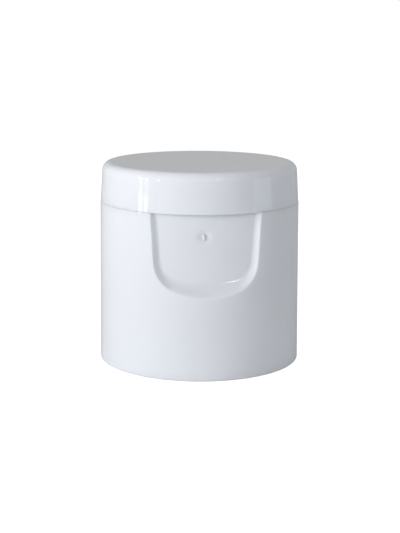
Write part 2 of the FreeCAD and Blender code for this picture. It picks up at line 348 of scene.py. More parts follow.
@dataclass
class ThumbRecess:
    """U-shaped recess in the front of the base, where the thumb pushes the lid up."""

    seam: float
    side_depth: float = 13.41
    half_width: float = 8.31
    drop: float = 10.56
    side_draft: float = 5.3
    corner: float = 3.2
    bottom_radius: float = 70.0
    wall_slope: float = 0.8
    floor_depth: float = 14.2
    floor_radius: float = 24.3
    floor_blend: float = 0.95
    edge_blend: float = 0.24
    dimple_x: float = -0.3
    dimple_drop: float = 3.65
    dimple_radius: float = 1.25
    dimple_depth: float = 0.22
    nub_half: tuple[float, float] = (0.25, 0.5)
    nub_sunk: float = 0.35
    nub_length: float = 0.66
    nub_tear: float = 0.05
    settle: int = 40
    span: float = 70.0

    def outline_distance(self, x: np.ndarray, z: np.ndarray) -> np.ndarray:
        """Signed distance in the front plane to the U outline, negative inside it.

        The outline has two leaning side lines, two corner arcs and a shallow bottom arc. Between the
        directions in which a corner arc meets its neighbours the distance is that to the corner's centre
        less its radius, and elsewhere it is the larger of the distances to the side line and to the bottom
        arc.

        Args:
            x: distance to the right of the middle.
            z: height above the bottom rim.

        Returns:
            The distance at each point.
        """
        lean = math.radians(self.side_draft)
        along = np.array([-math.sin(lean), -math.cos(lean)])
        outward = np.array([math.cos(lean), -math.sin(lean)])
        bottom = np.array([0.0, self.bottom_radius - self.drop])
        start = np.array([self.half_width - self.corner / math.cos(lean), 0.0]) - bottom
        inner = self.bottom_radius - self.corner
        travel = -(start @ along) + math.sqrt((start @ along) ** 2 - start @ start + inner ** 2)
        centre = bottom + start + along * travel
        down = (centre - bottom) / inner
        sideways = np.array([-down[1], down[0]])
        px, pz = np.abs(x) - centre[0], z - self.seam - centre[1]
        side = px * outward[0] + pz * outward[1] - self.corner
        floor = np.hypot(np.abs(x) - bottom[0], z - self.seam - bottom[1]) - self.bottom_radius
        in_corner = (px * along[0] + pz * along[1] > 0) & (px * sideways[0] + pz * sideways[1] > 0)
        return np.where(in_corner, np.hypot(px, pz) - self.corner, np.maximum(side, floor))

    def half_width_at(self, z: np.ndarray) -> np.ndarray:
        """Half width between the side lines, continued straight down below the corners."""
        return self.half_width - (self.seam - z) * math.tan(math.radians(self.side_draft))

    def surface(self, radii: np.ndarray, headings: np.ndarray, heights: np.ndarray, wall: float,
                fillet: float, edge: float) -> np.ndarray:
        """Radius of a turned wall after the recess has been pressed into it.

        Along each heading the recess wall stands where its distance from the middle plane equals the side
        depth plus the outline distance over the wall slope, and the floor is an upright cylinder. The
        higher of the two is kept with a fillet, and the lower of that and the turned wall with a small
        round.

        Args:
            radii: radius of the plain wall.
            headings: angle about the axis, 0 at the front.
            heights: height above the bottom rim.
            wall: thickness by which the form is grown, 0 for the outside.
            fillet: blend between floor and walls.
            edge: blend between walls and the plain wall.

        Returns:
            The new radius.
        """
        cosine = np.clip(np.cos(headings), 0.3, None)
        reach = radii.copy()
        for _ in range(self.settle):
            x = reach * np.sin(headings)
            rise = self.side_depth + (self.outline_distance(x, heights) - wall) / self.wall_slope
            inside = np.clip((self.floor_radius - wall) ** 2 - x ** 2, 0, None)
            floor = self.floor_depth - self.floor_radius + np.sqrt(inside)
            if wall == 0:
                aside, above = x - self.dimple_x, heights - (self.seam - self.dimple_drop)
                off = np.hypot(aside, above) / self.dimple_radius
                floor = floor - self.dimple_depth * np.clip(1 - off ** 2, 0, None) ** 1.5
            reach = soft_min(radii, soft_max(floor, rise, fillet) / cosine, edge)
        return np.where(np.abs(headings) < math.radians(self.span), reach, radii)

    def gate_nub(self) -> bpy.types.Object:
        """Trimmed stub that the gate leaves: an upright rounded bar whose face is torn a little unevenly.

        The section is a superellipse of power 4 that narrows towards its face. The face is moved along the
        stub by the tear's depth times the sine of twice the turn round the section.

        Returns:
            The piece.
        """
        steps = np.linspace(0, 1, 7)[:, None]
        turn = np.linspace(0, 2 * math.pi, 32, endpoint=False)
        taper = 1 - 0.12 * steps - 0.45 * np.clip(steps - 0.8, 0, None) / 0.2
        section = superellipse(32, 4)[None] * np.array(self.nub_half) * taper[..., None]
        root = -(self.floor_depth - self.dimple_depth) + self.nub_sunk
        torn = self.nub_tear * np.sin(2 * turn + 0.6) * steps ** 3
        body = np.stack([
            self.dimple_x + section[..., 0],
            root - self.nub_length * steps + torn,
            self.seam - self.dimple_drop + section[..., 1],
        ], axis=-1)
        return closed_bars("gate_nub", [body])


@dataclass
class Hinge:
    """Three-strap living hinge at the back: two bent outer films on the axis and a straight snap strap."""

    seam: float
    axis_y: float
    flat: float = 14.58
    inner: float = 13.73
    drop: float = 4.0
    rise: float = 4.0
    block_drop: float = 6.2
    ceiling_run: float = 3.4
    edge_blend: float = 0.14
    block_blend: float = 0.2
    notch_half: float = 1.95
    notch_reach: float = 2.4
    notch_back: float = 13.8
    film_inner: float = 2.3
    film_outer: float = 4.5
    land_low: float = 0.72
    land_high: float = 1.1
    roll: float = 0.16
    inside: float = 0.12
    film_sunk: float = 0.05
    film_taper: float = 0.25
    taper_reach: float = 0.06
    strap_half: float = 1.6
    strap_low: float = 13.86
    strap_thickness: float = 0.38
    strap_sunk: float = 0.06
    root_reach: float = 0.5
    root_widening: float = 0.22
    root_thickening: float = 0.2
    dense_from: float = 18.5
    dense_to: float = 24.5
    half_span: float = 30.0

    def headings(self) -> np.ndarray:
        """Headings of the grid columns across the hinge, left to right as seen from behind.

        They are close together where the flat runs out of the round wall, and the two columns at each side
        of the strap's notch are doubled.

        Returns:
            Angles from the middle of the back.
        """
        notch = math.atan2(self.notch_half, self.flat)
        dense_from, dense_to = math.radians(self.dense_from), math.radians(self.dense_to)
        outer = stepped(notch, (dense_from, 7), (dense_to, 18), (math.radians(self.half_span), 3))
        half = np.concatenate([stepped(0, (notch, 4))[1:], outer])
        return np.concatenate([-half[::-1], [0.0], half])

    def full_turn(self, right: np.ndarray) -> np.ndarray:
        """Headings of a whole turn of columns, from the middle of the back round by the left and the front.

        Args:
            right: headings on the right, from beside the front to the edge of the hinge.

        Returns:
            Angles in radians, with the hinge's own headings at both ends.
        """
        back = self.headings()
        middle = len(back) // 2
        return np.concatenate([back[middle:] - math.pi, -right[::-1], [0.0], right, math.pi + back[:middle]])

    def notch_columns(self, headings: np.ndarray) -> np.ndarray:
        """Numbers of the grid columns across the strap's notch, from left to right as seen from behind.

        Args:
            headings: headings of all columns.

        Returns:
            Column numbers, with both of each doubled pair.
        """
        off = (headings + math.pi) % (2 * math.pi)
        off = np.where(off > math.pi, off - 2 * math.pi, off)
        chosen = np.flatnonzero(np.abs(off) < math.atan2(self.notch_half, self.flat) + 1e-6)
        return chosen[np.argsort(off[chosen], kind="stable")]

    def pocket(self, radii: np.ndarray, headings: np.ndarray, heights: np.ndarray) -> np.ndarray:
        """Radius of a turned wall after the flat hinge pocket is cut across the parting line.

        The cutting plane stands at the flat's distance, and runs outwards one for one below the pocket and
        by ceiling_run for each millimetre above it.

        Args:
            radii: radius of the plain wall.
            headings: angle about the axis, a half turn at the back.
            heights: height above the bottom rim.

        Returns:
            The new radius.
        """
        below = np.clip(self.seam - self.drop - heights, 0, None)
        above = np.clip(heights - self.seam - self.rise, 0, None) * self.ceiling_run
        return flattened(radii, self.flat + below + above, headings, self.edge_blend)

    def block(self, radii: np.ndarray, headings: np.ndarray) -> np.ndarray:
        """Radius of an inner wall after the flat thickening behind the hinge is added to it."""
        return flattened(radii, self.inner, headings, self.block_blend)

    def notch(self, grid: np.ndarray, headings: np.ndarray, first: int, corner: int, last: int) -> None:
        """Cut the strap's notch into a grid, in place.

        Between rows first and last the plain grid runs along the flat to the parting line and then
        inwards. Inside the notch the rows run inwards first, at the height of row first, and then along
        the notch's back to the parting line. The doubled columns at each side keep their x, so the strips
        between them are flat side walls.

        Args:
            grid: points of the wall, rows by columns.
            headings: headings of the columns.
            first: row at which the notch begins, on the flat.
            corner: row at the parting line's edge.
            last: row at which the notch ends, on the face at the parting line.
        """
        columns = self.notch_columns(headings)
        x = np.clip(grid[first, columns, 0], -self.notch_half, self.notch_half)
        end_z, start_z = grid[last, columns[0], 2], grid[first, columns[0], 2]
        rows = np.arange(first, last + 1)
        inwards = np.clip((rows - first) / (corner - first), 0, 1)
        along = np.clip((rows - corner) / (last - corner), 0, 1)
        edge = columns[[0, -1]]
        face = rows[rows >= corner]
        share = ((face - corner) / (last - corner))[:, None]
        start_y = grid[corner, edge, 1][None]
        grid[np.ix_(rows, edge, [0])] = np.broadcast_to(x[[0, -1]][None, :, None], (len(rows), 2, 1))
        grid[np.ix_(face, edge, [1])] = (start_y + share * (self.notch_back - start_y))[..., None]
        core = columns[1:-1]
        grid[np.ix_(rows, core, [0])] = np.broadcast_to(x[1:-1][None, :, None], (len(rows), len(core), 1))
        grid[np.ix_(rows, core, [1])] = (self.flat + inwards * (self.notch_back - self.flat))[:, None, None]
        grid[np.ix_(rows, core, [2])] = (start_z + along * (end_z - start_z))[:, None, None]

    def film(self, side: Side) -> bpy.types.Object:
        """One outer film: a V section with a rolled edge on the axis, carried along X with rounded ends.

        The section runs from the base's flat out to the axis, round it in an arc and back to the lid's
        flat, then in along the inside of the V.

        Args:
            side: which of the two films.

        Returns:
            The piece.
        """
        slope = math.atan2(self.land_high, self.axis_y - self.flat)
        turn = np.linspace(slope - QUARTER, QUARTER - slope, 9)
        steps = np.linspace(0, 1, 9)[:, None]
        wall = self.flat - self.film_sunk
        axis = np.array([self.axis_y, self.seam])
        arc = axis + self.roll * np.stack([np.cos(turn), np.sin(turn)], axis=-1)
        tip = np.array([self.axis_y - self.inside, self.seam])
        low_out, low_in, high_in, high_out = (
            np.array([wall, self.seam + rise])
            for rise in (-self.land_high, -self.land_low, self.land_low, self.land_high)
        )
        outline = np.concatenate([
            low_out + (arc[0] - low_out) * steps[:-1],
            arc,
            (arc[-1] + (high_out - arc[-1]) * steps)[1:],
            high_in[None],
            (high_in + (tip - high_in) * steps)[1:],
            (tip + (low_in - tip) * steps)[1:],
        ])
        stations = np.concatenate([[0, 0.03], np.linspace(0.08, 0.92, 9), [0.97, 1]])
        near_end = np.clip(1 - np.minimum(stations, 1 - stations) / self.taper_reach, 0, 1)
        shrink = 1 - self.film_taper * near_end ** 2
        middle = np.array([(self.flat + self.axis_y) / 2, self.seam])
        x = side.value * self.film_inner + side.value * stations * (self.film_outer - self.film_inner)
        x = x[::side.value]  # always from left to right
        keep = np.stack([shrink, np.ones_like(shrink)], axis=-1)[:, None]
        section = middle + (outline - middle)[None] * keep
        along = np.broadcast_to(x[:, None, None], section.shape[:2] + (1,))
        grid = np.concatenate([along, section], axis=-1)
        return closed_bars(f"hinge_film_{side.name.lower()}_skin", [grid])

    def strap(self) -> bpy.types.Object:
        """Middle strap: a flat bar that is thinnest at the parting line and thickens into its two roots.

        Half its width is strap_half, widened by a quarter circle at each root, and its thickness is the
        strap's own plus a little towards the ends.

        Returns:
            The piece.
        """
        reach = self.notch_reach + self.strap_sunk
        height = np.linspace(-1, 1, 41)
        end = np.clip((np.abs(height) * reach - (reach - self.root_reach)) / self.root_reach, 0, 1)
        flare = 1 - np.sqrt(1 - end ** 2)
        half = self.strap_half + self.root_widening * flare
        thick = self.strap_thickness * (0.8 + 0.2 * np.abs(height) ** 2) + self.root_thickening * flare
        section = superellipse(40, 8)[None] * np.stack([half, thick / 2], axis=-1)[:, None]
        level = np.broadcast_to((self.seam + height * reach)[:, None], section.shape[:2])
        middle = self.strap_low + self.strap_thickness / 2
        return closed_bars("hinge_strap_skin", [
            np.stack([section[..., 0], middle + section[..., 1], level], axis=-1),
        ])


@dataclass
class Base:
    """Lower moulding: outer skirt, deck with rim and spout, and the threaded neck inside."""

    recess: ThumbRecess
    hinge: Hinge
    foot_radius: float
    seam: float
    draft: float = 0.5
    skirt_wall: float = 1.2
    deck_wall: float = 1.4
    foot_round: float = 0.22
    seam_round: float = 0.08
    neck_radius: float = 12.2
    neck_outer: float = 13.2
    neck_depth: float = 16.9
    neck_lead: float = 0.5
    land_radius: float = 11.6
    land_depth: float = 3.6
    plug_radius: float = 9.1
    plug_wall: float = 0.8
    plug_depth: float = 2.8
    rim_radius: float = 13.45
    rim_wall: float = 0.9
    rim_height: float = 1.4
    bead_height: float = 0.12
    bead_level: float = 0.85
    bead_half_span: float = 20.0
    spout_radius: float = 3.5
    spout_height: float = 2.2
    orifice_radius: float = 2.0
    panel: float = 1.1
    rib_count: int = 8
    rib_start: float = 2.0
    rib_half: float = 0.32
    rib_foot_round: float = 0.15
    recess_edge: tuple[float, float] = (4.7, 8.9)
    wall_rows: tuple[tuple[float, int], ...] = ((12.3, 10), (18.8, 55), (20.0, 5), (21.8, 15))

    def headings(self) -> np.ndarray:
        """Headings of the grid's columns, from the middle of the back round by the left and the front.

        Returns:
            Angles in radians, closest together at the sides of the recess and of the hinge flat.
        """
        near, far = self.recess_edge
        front = np.arcsin(stepped(0, (near, 20), (far, 35)) / self.recess_radius())
        hinge_edge = math.pi - math.radians(self.hinge.half_span)
        sides = stepped(front[-1], (hinge_edge, 41))[1:-1]
        return self.hinge.full_turn(np.concatenate([front[1:], sides]))

    def recess_radius(self) -> float:
        """Radius of the skirt at the parting line."""
        return self.skirt_radius(self.seam)

    def skirt_radius(self, heights: np.ndarray) -> np.ndarray:
        """Radius of the plain skirt, which narrows upwards by its draft."""
        return self.foot_radius - heights * math.tan(math.radians(self.draft))

    def leaning(self, headings: np.ndarray, heights: np.ndarray) -> np.ndarray:
        """Headings that follow the leaning sides of the recess, so that grid lines run along its walls.

        Near the front each heading is scaled by the recess's half width at its height over the half width
        at the parting line. The scaling dies away between 36 and 80 degrees from the front, and towards
        the foot.

        Args:
            headings: headings at the parting line.
            heights: height of each row.

        Returns:
            Headings, rows by columns.
        """
        low = self.seam - self.recess.drop
        width = self.recess.half_width_at(np.clip(heights, low, None)) / self.recess.half_width
        loss = ((1 - width) * ease(heights, 0.5, low))[:, None]
        near = 1 - ease(np.abs(headings), math.radians(36), math.radians(80))
        return headings[None] * (1 - loss * near[None])

    def outer_wall(self, headings: np.ndarray) -> tuple[np.ndarray, int]:
        """Outside of the skirt from the round of its foot to the round at the parting line.

        Args:
            headings: headings of the columns.

        Returns:
            Grid of points, and the row at which the strap's notch begins.
        """
        foot_turn = np.linspace(-QUARTER, 0, 7)
        seam_turn = np.linspace(0, QUARTER, 5)
        notch = self.seam - self.hinge.notch_reach
        top = self.seam - self.seam_round
        wall = stepped(self.foot_round + 0.06, *self.wall_rows, (notch, 6), (top - 0.05, 10))
        heights = np.concatenate([
            self.foot_round * (1 + np.sin(foot_turn)), wall, top + self.seam_round * np.sin(seam_turn),
        ])
        inset = np.concatenate([
            self.foot_round * (1 - np.cos(foot_turn)),
            np.zeros(len(wall)),
            self.seam_round * (1 - np.cos(seam_turn)),
        ])
        turned_by = self.leaning(headings, heights)
        plain = np.broadcast_to(self.skirt_radius(heights)[:, None], turned_by.shape)
        level = np.broadcast_to(heights[:, None], turned_by.shape)
        recess = self.recess
        radii = recess.surface(plain, turned_by, level, 0.0, recess.floor_blend, recess.edge_blend)
        radii = self.hinge.pocket(radii, turned_by, level)
        return turned(radii - inset[:, None], level, turned_by), int(np.argmin(np.abs(heights - notch)))

    def deck_ring(self, edge: np.ndarray, headings: np.ndarray) -> np.ndarray:
        """Flat face at the parting line, in straight lines from the skirt's edge to a circle inside it.

        Args:
            edge: the last row of the outer wall.
            headings: headings of the columns.

        Returns:
            Grid of points without the edge itself.
        """
        inner = turned(self.rim_radius + 0.35, self.seam, headings)
        share = np.array([0.08, 0.35, 0.7, 1.0])[:, None, None]
        return edge[None] + (inner - edge)[None] * share

    def deck_profile(self) -> np.ndarray:
        """Section over the rim and the spout, down the bore and round the neck to its mouth."""
        seam, under = self.seam, self.seam - self.deck_wall
        rim_top, spout_top = seam + self.rim_height, seam + self.spout_height
        lead = self.rim_wall / 3
        bore, land = under - self.land_depth, self.land_radius
        mouth = under - self.neck_depth
        tip = under - self.plug_depth
        return rounded_profile([
            (self.rim_radius + 0.2, seam, 0),
            (self.rim_radius, seam, 0.1),
            *((self.rim_radius, seam + rise, 0.0) for rise in np.linspace(0.4, 1.0, 9)),
            (self.rim_radius, rim_top - lead, 0.08),
            (self.rim_radius - lead, rim_top, 0.1),
            (self.rim_radius - self.rim_wall, rim_top, 0.12),
            (self.rim_radius - self.rim_wall, seam, 0.18),
            (self.spout_radius, seam, 0.35),
            (self.spout_radius - 0.3, spout_top, 0.4),
            (self.orifice_radius + 0.4, spout_top, 0.1),
            (self.orifice_radius, spout_top - 0.4, 0.15),
            (self.orifice_radius, under, 0.15),
            (self.plug_radius - self.plug_wall, under, 0.2),
            (self.plug_radius - self.plug_wall, tip, 0.12),
            (self.plug_radius - 0.35, tip, 0.14),
            (self.plug_radius, tip + 0.8, 0.4),
            (self.plug_radius, under, 0.2),
            (land, under, 0.2),
            (land, bore + 0.6, 0.2),
            (self.neck_radius, bore, 0.2),
            (self.neck_radius, mouth + self.neck_lead, 0.15),
            (self.neck_radius + self.neck_lead, mouth, 0.1),
            (self.neck_outer, mouth, 0.12),
            (self.neck_outer, under - 0.2, 0),
        ], steps=3)

    def deck(self, headings: np.ndarray) -> np.ndarray:
        """Turned middle of the base, with the snap bead raised along the front of the rim.

        Args:
            headings: headings of the columns.

        Returns:
            Grid of points.
        """
        profile = self.deck_profile()
        radii = np.repeat(profile[:, :1], len(headings), axis=1)
        level = (profile[:, 1] - self.seam - self.bead_level) / 0.4
        near = 1 - ease(np.degrees(np.abs(headings)), self.bead_half_span - 2, self.bead_half_span)
        on_rim = (np.abs(profile[:, 0] - self.rim_radius) < 0.01)[:, None]
        radii = radii + on_rim * self.bead_height * np.clip(1 - level ** 2, 0, None)[:, None] * near[None]
        return turned(radii, profile[:, 1:], headings[None])

    def inner_radius(self, headings: np.ndarray, heights: np.ndarray) -> np.ndarray:
        """Radius of the skirt's inside: the plain wall, bulged by the recess and by the hinge block.

        Args:
            headings: angle about the axis.
            heights: height above the bottom rim, with the same shape.

        Returns:
            The radius at each point, always clear of the neck.
        """
        plain = self.skirt_radius(heights) - self.skirt_wall
        radii = self.recess.surface(plain, headings, heights, self.panel, 0.5, 0.5)
        thick = self.hinge.block(radii, headings)
        radii = np.where(heights > self.seam - self.hinge.block_drop, thick, radii)
        return np.maximum(radii, self.neck_outer + 0.05)

    def inner_wall(self, headings: np.ndarray) -> np.ndarray:
        """Inside of the skirt from the deck down to the foot, bulged by the recess and the hinge block.

        Args:
            headings: headings of the columns.

        Returns:
            Grid of points that ends on the foot's flat face.
        """
        under = self.seam - self.deck_wall
        low = self.seam - self.hinge.block_drop
        heights = np.concatenate([
            [under], np.linspace(under - 0.15, low + 0.06, 14), [low - 0.04],
            np.linspace(low - 0.3, 12.6, 22), np.linspace(12.0, 0.25, 8),
        ])
        level = np.broadcast_to(heights[:, None], (len(heights), len(headings)))
        turned_by = np.broadcast_to(headings[None], level.shape)
        wall = turned(self.inner_radius(turned_by, level), level, turned_by)
        rim = self.foot_radius - self.skirt_wall
        face = [turned(rim + step, height, headings)[None]
                for step, height in ((0.0, 0.12), (0.04, 0.03), (0.14, 0.0), (0.3, 0.0))]
        start = turned(self.neck_outer + 0.02, under, headings)[None]
        return np.concatenate([start, wall] + face)

    def shell(self) -> bpy.types.Object:
        """The whole base as one closed skin: outer wall, deck ring, turned middle and inner wall in a loop.

        Returns:
            The piece.
        """
        headings = self.headings()
        outer, first = self.outer_wall(headings)
        ring = self.deck_ring(outer[-1], headings)
        grid = np.concatenate([outer, ring, self.deck(headings), self.inner_wall(headings)])
        self.hinge.notch(grid, headings, first, len(outer) - 1, len(outer) + len(ring) - 1)
        return make_piece("base_shell", [grid], [grid_faces(len(grid), len(headings), wrap_rows=True)])

    def ribs(self) -> bpy.types.Object:
        """Upright ribs between the two skirts: a tapered rounded plate, turned to each heading.

        Each plate is a rectangular section with rounded corners, carried from its foot up to the deck. It
        gets thinner downwards by its draft, and its outer edge follows the inside of the skirt a little
        way into it.

        Returns:
            The piece.
        """
        inner = self.neck_outer - 0.3
        foot = self.seam - self.deck_wall - self.neck_depth + self.rib_start
        top = self.seam - self.deck_wall + 0.2
        heights = np.concatenate([[0, 0.05, self.rib_foot_round], np.linspace(0.4, top - foot, 24)])
        shrink = np.sqrt(1 - np.clip(1 - heights / self.rib_foot_round, 0, 1) ** 2) * 0.12 - 0.12
        ring = superellipse(20, 12)
        half = self.rib_half + 0.08 * heights / heights[-1] + shrink
        aside = ring[None, :, 1] * half[:, None]
        bodies = []
        for index in range(self.rib_count):
            heading = 2 * math.pi * (index + 0.5) / self.rib_count
            facing = (heading + math.pi) % (2 * math.pi) - math.pi
            outer = self.inner_radius(np.full(heights.shape, facing), foot + heights)[:, None] + 0.25
            along = (inner + outer) / 2 + ring[None, :, 0] * (outer - inner) / 2
            x = along * math.sin(heading) + aside * math.cos(heading)
            y = -along * math.cos(heading) + aside * math.sin(heading)
            z = np.broadcast_to((foot + heights)[:, None], x.shape)
            bodies.append(np.stack([x, y, z], axis=-1))
        return closed_bars("base_ribs", bodies)


@dataclass
class NeckThread:
    """Right-hand thread inside the neck, for a 24/410 bottle."""

    root: float = 12.2
    crest: float = 11.15
    pitch: float = 3.175
    turns: float = 1.5
    start_height: float = 9.6
    start_heading: float = 40.0
    foot_half: float = 0.95
    crest_half: float = 0.32
    fade: float = 0.09

    def ridge(self) -> bpy.types.Object:
        """Trapezoid ridge on a helix that rises one pitch a turn and fades out at both ends.

        Station t stands at heading 2 pi turns t and height pitch turns t. The section's corners are
        rounded, and its depth is scaled by a smooth step over the first and last part of the helix.

        Returns:
            The piece.
        """
        stations = np.linspace(0, 1, 260)
        headings = 2 * math.pi * self.turns * stations + math.radians(self.start_heading)
        heights = self.start_height + self.pitch * self.turns * stations
        depth = self.root - self.crest
        profile = rounded_profile([
            (-0.15, -self.foot_half - 0.1, 0),
            (0.0, -self.foot_half, 0.1),
            (depth, -self.crest_half, 0.22),
            (depth, self.crest_half, 0.22),
            (0.0, self.foot_half, 0.1),
            (-0.15, self.foot_half + 0.1, 0),
        ], steps=4, support=0.04)
        grow = ease(np.minimum(stations, 1 - stations), 0, self.fade)[:, None]
        inwards = profile[None, :, 0] * np.where(profile[None, :, 0] > 0, grow, 1)
        upwards = profile[None, :, 1] * (0.45 + 0.55 * grow)
        body = turned(self.root - inwards, heights[:, None] + upwards, headings[:, None])
        return closed_bars("neck_thread", [body])


@dataclass
class Lid:
    """Low flat-topped lid with the spigot that closes the spout and a thicker lip at the front."""

    hinge: Hinge
    seam_radius: float
    seam: float
    height: float
    draft: float = 3.3
    wall: float = 1.2
    top_wall: float = 1.3
    top_round: float = 1.3
    under_round: float = 0.6
    seam_round: float = 0.08
    dish: float = 0.02
    lip_radius: float = 13.8
    lip_height: float = 1.3
    lip_half_span: float = 26.0
    bead_height: float = 0.12
    bead_level: float = 0.38
    bead_half_span: float = 20.0
    spigot_radius: float = 1.85
    spigot_wall: float = 0.7
    spigot_tip: float = 0.7
    core_reach: float = 13.0
    front_columns: tuple[tuple[float, int], ...] = (
        (17.5, 12), (18, 1), (20.5, 5), (22, 1), (25, 2), (25.4, 1), (26.8, 5), (28.5, 1), (148.5, 71),
    )

    def headings(self) -> np.ndarray:
        """Headings of the grid's columns, closest together where the snap bead and the front lip end.

        Returns:
            Angles in radians.
        """
        front = stepped(0, *self.front_columns)[1:]
        return self.hinge.full_turn(np.radians(front))

    def outer_radius(self, heights: np.ndarray) -> np.ndarray:
        """Radius of the plain outer wall, which narrows upwards by its draft."""
        return self.seam_radius - (heights - self.seam) * math.tan(math.radians(self.draft))

    def inner_radius(self, headings: np.ndarray, heights: np.ndarray) -> np.ndarray:
        """Radius of the inside: the drafted wall, thickened by the front lip, its bead and the hinge block.

        The lip's face is a cylinder that leaves at 45 degrees above its height, and the bead stands
        inwards from it as an arch of its height times one less the square of the distance from its level.

        Args:
            headings: angle about the axis.
            heights: height above the bottom rim.

        Returns:
            The radius at each point.
        """
        rise = heights - self.seam
        plain = self.outer_radius(heights) - self.wall
        lip = self.lip_radius + np.clip(rise - self.lip_height, 0, None)
        off = np.degrees(np.abs(headings))
        bead = np.clip(1 - ((rise - self.bead_level) / 0.36) ** 2, 0, None)
        lip = lip - self.bead_height * bead * (1 - ease(off, self.bead_half_span - 2, self.bead_half_span))
        near = 1 - ease(off, self.lip_half_span - 0.5, self.lip_half_span + 0.5)
        radii = plain + (soft_min(plain, lip, 0.12) - plain) * near
        return self.hinge.block(radii, headings)

    def shell(self) -> bpy.types.Object:
        """The whole lid as one closed skin from the inside of the spigot to the middle of the flat top.

        The rows run down the spigot and up it, out under the top, down the inner wall, out across the face
        at the parting line, up the outer wall and over the rounded edge to the middle.

        Returns:
            The piece.
        """
        headings = self.headings()
        under, top = self.seam + self.height - self.top_wall, self.seam + self.height
        tip = self.seam + self.spigot_tip
        bore = self.spigot_radius - self.spigot_wall
        core = rounded_profile([
            (0, under, 0),
            (bore, under, 0.15),
            (bore, tip, 0.1),
            (self.spigot_radius - 0.4, tip, 0.08),
            (self.spigot_radius, tip + 0.4, 0.15),
            (self.spigot_radius, under, 0.3),
            (self.core_reach, under, 0),
        ], steps=3)
        inside = turned(core[:, :1], core[:, 1:], headings[None])
        turn = np.linspace(QUARTER, 0, 6)[:, None]
        round_level = under - self.under_round * (1 - np.sin(turn))
        round_radius = self.inner_radius(headings[None], round_level) - self.under_round * (1 - np.cos(turn))
        corner = turned(round_radius, round_level, headings[None])
        inner_levels = np.concatenate([
            np.linspace(under - self.under_round - 0.05, self.seam + 2.9, 5),
            np.linspace(self.seam + 2.8, self.seam + 0.08, 30),
            [self.seam + 0.03, self.seam],
        ])[:, None]
        inset = np.array([0.0] * (len(inner_levels) - 2) + [0.01, 0.04])[:, None]
        inner = turned(self.inner_radius(headings[None], inner_levels) + inset, inner_levels, headings[None])
        outer, first = self.outer_wall(headings)
        share = np.array([1.0, 0.7, 0.35, 0.08])[:, None, None]
        inner_ring = turned(self.inner_radius(headings, self.seam) + 0.1, self.seam, headings)
        ring = outer[0][None] + (inner_ring - outer[0])[None] * share
        crown_turn = np.linspace(0, QUARTER, 9)[:, None]
        crown_low = top - self.top_round
        crown_radius = self.outer_radius(crown_low) - self.top_round * (1 - np.cos(crown_turn))
        crown = turned(crown_radius, crown_low + self.top_round * np.sin(crown_turn), headings[None])
        flat = np.array([0.996, 0.985, 0.93, 0.8, 0.6, 0.4, 0.2, 0.0])[:, None]
        edge = crown_radius[-1, 0]
        sunk = self.dish * (1 - flat ** 2) * ease(1 - flat, 0, 0.2)
        cover = turned(edge * flat, top - sunk, headings[None])
        grid = np.concatenate([inside, corner, inner, ring, outer, crown, cover])
        last = len(grid) - 1 - len(inside) - len(corner) - len(inner)
        seam_row = last - len(ring)
        self.hinge.notch(grid[::-1], headings, seam_row - first, seam_row, last)
        return make_piece("lid_shell", [grid], [grid_faces(len(grid), len(headings))])

    def outer_wall(self, headings: np.ndarray) -> tuple[np.ndarray, int]:
        """Outside of the lid from the round at the parting line to the start of the rounded top edge.

        Args:
            headings: headings of the columns.

        Returns:
            Grid of points, and the row at which the strap's notch ends.
        """
        seam_turn = np.linspace(QUARTER, 0, 5)
        notch = self.seam + self.hinge.notch_reach
        ceiling = self.seam + self.hinge.rise
        wall = np.concatenate([
            np.linspace(self.seam + self.seam_round + 0.05, notch, 9),
            np.linspace(notch, ceiling - 0.08, 6)[1:],
            np.linspace(ceiling - 0.05, ceiling + 0.34, 14),
            np.linspace(ceiling + 0.42, self.seam + self.height - self.top_round - 0.05, 5),
        ])
        heights = np.concatenate([self.seam + self.seam_round * (1 - np.sin(seam_turn)), wall])
        inset = np.concatenate([self.seam_round * (1 - np.cos(seam_turn)), np.zeros(len(wall))])
        level = np.broadcast_to(heights[:, None], (len(heights), len(headings)))
        turned_by = np.broadcast_to(headings[None], level.shape)
        radii = self.hinge.pocket(self.outer_radius(level), turned_by, level)
        return turned(radii - inset[:, None], level, turned_by), int(np.argmin(np.abs(heights - notch)))


# ---------------------------------------------------------------- finishes


